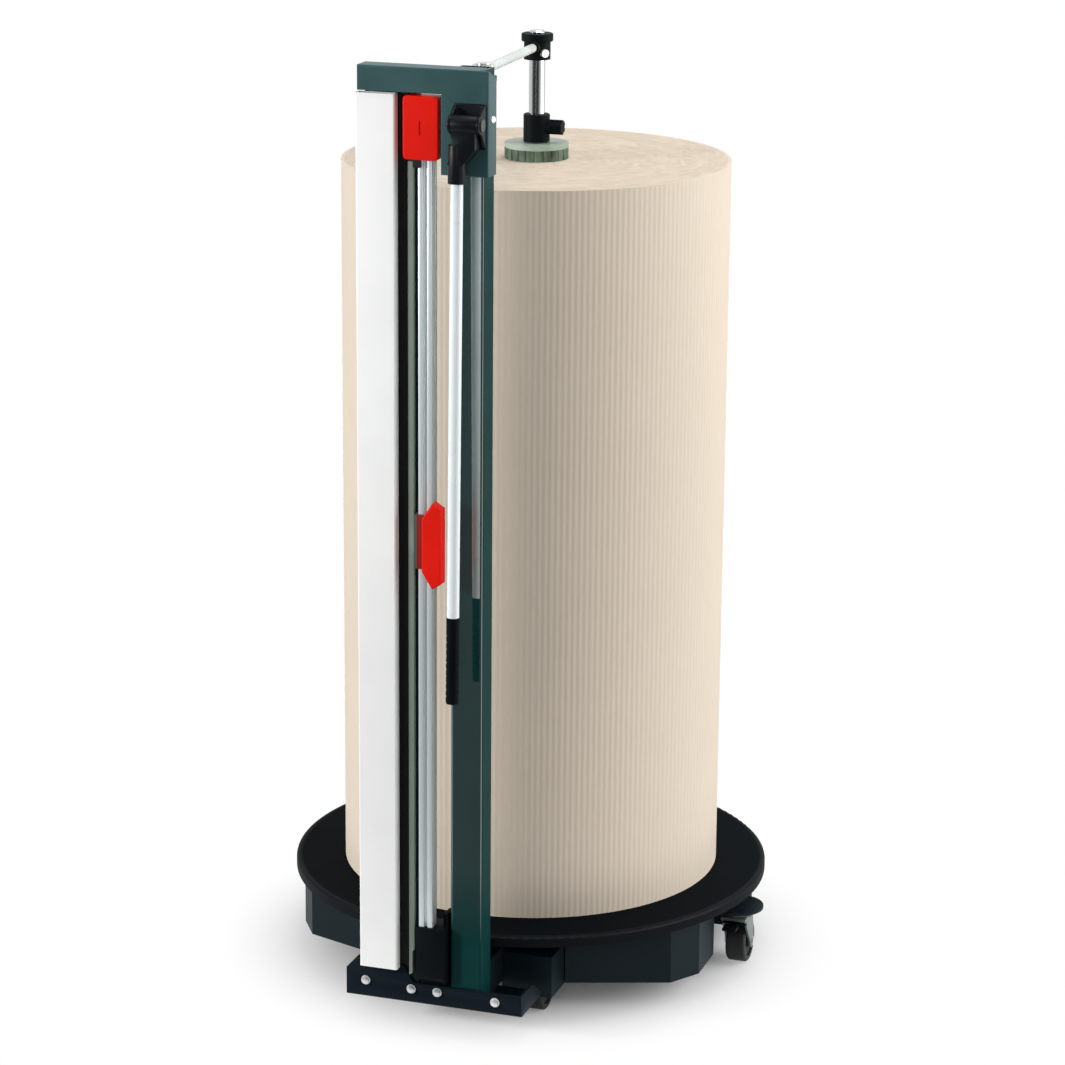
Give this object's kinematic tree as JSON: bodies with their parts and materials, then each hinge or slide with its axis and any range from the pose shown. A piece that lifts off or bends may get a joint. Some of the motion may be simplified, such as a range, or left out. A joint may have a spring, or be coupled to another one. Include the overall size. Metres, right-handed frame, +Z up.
{
  "type": "roll cutting stand",
  "caption": "Mobile stand carrying an upright roll of corrugated board on a turntable, with a mast, clamp bar, sliding red cutter, lever and hold-down disc.",
  "frame": {"origin": "point on the floor under the turntable's axis", "axes": "+Z up, -Y towards the mast and the person who cuts, +X to that person's right"},
  "size_m": [0.6938, 0.7781, 1.303],
  "materials": {
    "dark_paint": "satin",
    "bracket_paint": "satin",
    "column_paint": "gloss",
    "header_paint": "satin",
    "table_paint": "satin",
    "black_paint": "satin",
    "white_bar": "satin",
    "lever_white": "gloss",
    "red_plastic": "gloss",
    "black_plastic": "matte",
    "edge_plastic": "satin",
    "black_rubber": "matte",
    "wheel_rubber": "matte",
    "ring_rubber": "matte",
    "rail_aluminium": "brushed",
    "steel": "brushed",
    "zinc": "satin",
    "pale_steel": "satin",
    "chrome": "polished",
    "board": "matte",
    "core_board": "matte"
  },
  "bodies": {
    "stand": {"base_housing": "dark_paint", "bearing_lower_ring": "steel", "bearing_balls": "steel", "centre_spindle": "steel", "castor_wings": "dark_paint", "castor_plates": "zinc", "front_castor_forks": "zinc", "front_castor_axles": "steel", "mast_arm": "dark_paint", "foot_bracket": "bracket_paint", "bracket_bolts": "steel", "mast_column": "column_paint", "header_cover": "header_paint", "counter_beam": "dark_paint", "web_strip": "black_rubber", "edge_strip": "edge_plastic", "guide_rail": "rail_aluminium", "rail_foot": "black_plastic", "parking_guard": "red_plastic", "guard_bumper": "black_rubber", "bar_guide_pins": "steel", "lever_bracket": "black_paint", "lever_pin": "steel", "arm_bracket": "black_paint", "arm_pin": "steel"},
    "turntable": {"turntable_disc": "table_paint", "bearing_upper_ring": "steel", "centring_spigot": "black_plastic", "corrugated_roll": "board", "fluted_turn": "board", "roll_core": "core_board"},
    "clamp_bar_body": {"clamp_bar": "white_bar", "bar_pads": "black_rubber", "draw_strap": "steel"},
    "lever": {"lever_head": "black_plastic", "lever_tube": "lever_white", "lever_grip": "black_rubber"},
    "cutter": {"cutter_carriage": "red_plastic", "cutter_blade": "steel"},
    "arm": {"hold_down_arm": "pale_steel", "rod_clamp": "black_plastic"},
    "clamp_screw_body": {"clamp_screw": "steel"},
    "rod": {"hold_down_rod": "chrome", "rod_hub": "black_plastic"},
    "knob": {"hub_knob": "black_plastic"},
    "press_disc": {"press_plate": "pale_steel", "press_ring": "ring_rubber"},
    "front_right_wheel": {"front_wheel_right": "wheel_rubber"},
    "front_left_wheel": {"front_wheel_left": "wheel_rubber"},
    "right_swivel": {"side_fork_right": "zinc", "side_axle_right": "steel"},
    "left_swivel": {"side_fork_left": "zinc", "side_axle_left": "steel"},
    "rear_swivel": {"rear_fork": "zinc", "rear_axle": "steel"},
    "right_wheel": {"side_wheel_right": "wheel_rubber"},
    "left_wheel": {"side_wheel_left": "wheel_rubber"},
    "back_wheel": {"rear_wheel": "wheel_rubber"},
    "right_pedal": {"brake_pedal_right": "black_plastic"},
    "left_pedal": {"brake_pedal_left": "black_plastic"}
  },
  "joints": [
    {"name": "turntable_spin", "type": "hinge", "parent": "stand", "child": "turntable", "pos_m": [0, 0, 0.13], "axis": [0, 0, 1], "continuous": true},
    {"name": "lever_swing", "type": "hinge", "parent": "stand", "child": "lever", "pos_m": [0.047, -0.419, 1.238], "axis": [-1, 0, 0], "range_deg": [0, 70]},
    {"name": "bar_open", "type": "slide", "parent": "stand", "child": "clamp_bar_body", "axis": [0, -1, 0], "range_m": [0, 0.008]},
    {"name": "cutter_slide", "type": "slide", "parent": "stand", "child": "cutter", "axis": [0, 0, 1], "range_m": [-0.45, 0.41]},
    {"name": "arm_swing", "type": "hinge", "parent": "stand", "child": "arm", "pos_m": [0.037, -0.325, 1.293], "axis": [0, 0, 1], "range_deg": [-100, 0]},
    {"name": "clamp_screw_turn", "type": "hinge", "parent": "arm", "child": "clamp_screw_body", "pos_m": [0.01414, -0.01414, 1.274], "axis": [0.7071, -0.7071, 0], "range_deg": [0, 180]},
    {"name": "rod_slide", "type": "slide", "parent": "arm", "child": "rod", "axis": [0, 0, 1], "range_m": [0, 0.07]},
    {"name": "knob_turn", "type": "hinge", "parent": "rod", "child": "knob", "pos_m": [0.03, 0, 1.173], "axis": [1, 0, 0], "range_deg": [0, 180]},
    {"name": "disc_spin", "type": "hinge", "parent": "rod", "child": "press_disc", "pos_m": [0, 0, 1.148], "axis": [0, 0, 1], "continuous": true},
    {"name": "front_right_roll", "type": "hinge", "parent": "stand", "child": "front_right_wheel", "pos_m": [0.095, -0.249, 0.03], "axis": [1, 0, 0], "continuous": true},
    {"name": "front_left_roll", "type": "hinge", "parent": "stand", "child": "front_left_wheel", "pos_m": [-0.095, -0.249, 0.03], "axis": [1, 0, 0], "continuous": true},
    {"name": "right_swivel_turn", "type": "hinge", "parent": "stand", "child": "right_swivel", "pos_m": [0.31, -0.01, 0.08], "axis": [0, 0, 1], "continuous": true},
    {"name": "left_swivel_turn", "type": "hinge", "parent": "stand", "child": "left_swivel", "pos_m": [-0.31, -0.01, 0.08], "axis": [0, 0, 1], "continuous": true},
    {"name": "rear_swivel_turn", "type": "hinge", "parent": "stand", "child": "rear_swivel", "pos_m": [0, 0.245, 0.08], "axis": [0, 0, 1], "continuous": true},
    {"name": "right_wheel_roll", "type": "hinge", "parent": "right_swivel", "child": "right_wheel", "pos_m": [0.31, 0.01, 0.03], "axis": [1, 0, 0], "continuous": true},
    {"name": "left_wheel_roll", "type": "hinge", "parent": "left_swivel", "child": "left_wheel", "pos_m": [-0.31, 0.01, 0.03], "axis": [1, 0, 0], "continuous": true},
    {"name": "back_wheel_roll", "type": "hinge", "parent": "rear_swivel", "child": "back_wheel", "pos_m": [0, 0.265, 0.03], "axis": [1, 0, 0], "continuous": true},
    {"name": "right_pedal_tip", "type": "hinge", "parent": "right_swivel", "child": "right_pedal", "pos_m": [0.31, -0.0235, 0.0676], "axis": [-1, 0, 0], "range_deg": [0, 18]},
    {"name": "left_pedal_tip", "type": "hinge", "parent": "left_swivel", "child": "left_pedal", "pos_m": [-0.31, -0.0235, 0.0676], "axis": [-1, 0, 0], "range_deg": [0, 18]}
  ],
  "couplings": [
    {"joint": "bar_open", "follows": "lever_swing", "m_per_rad": 0.0065}
  ]
}
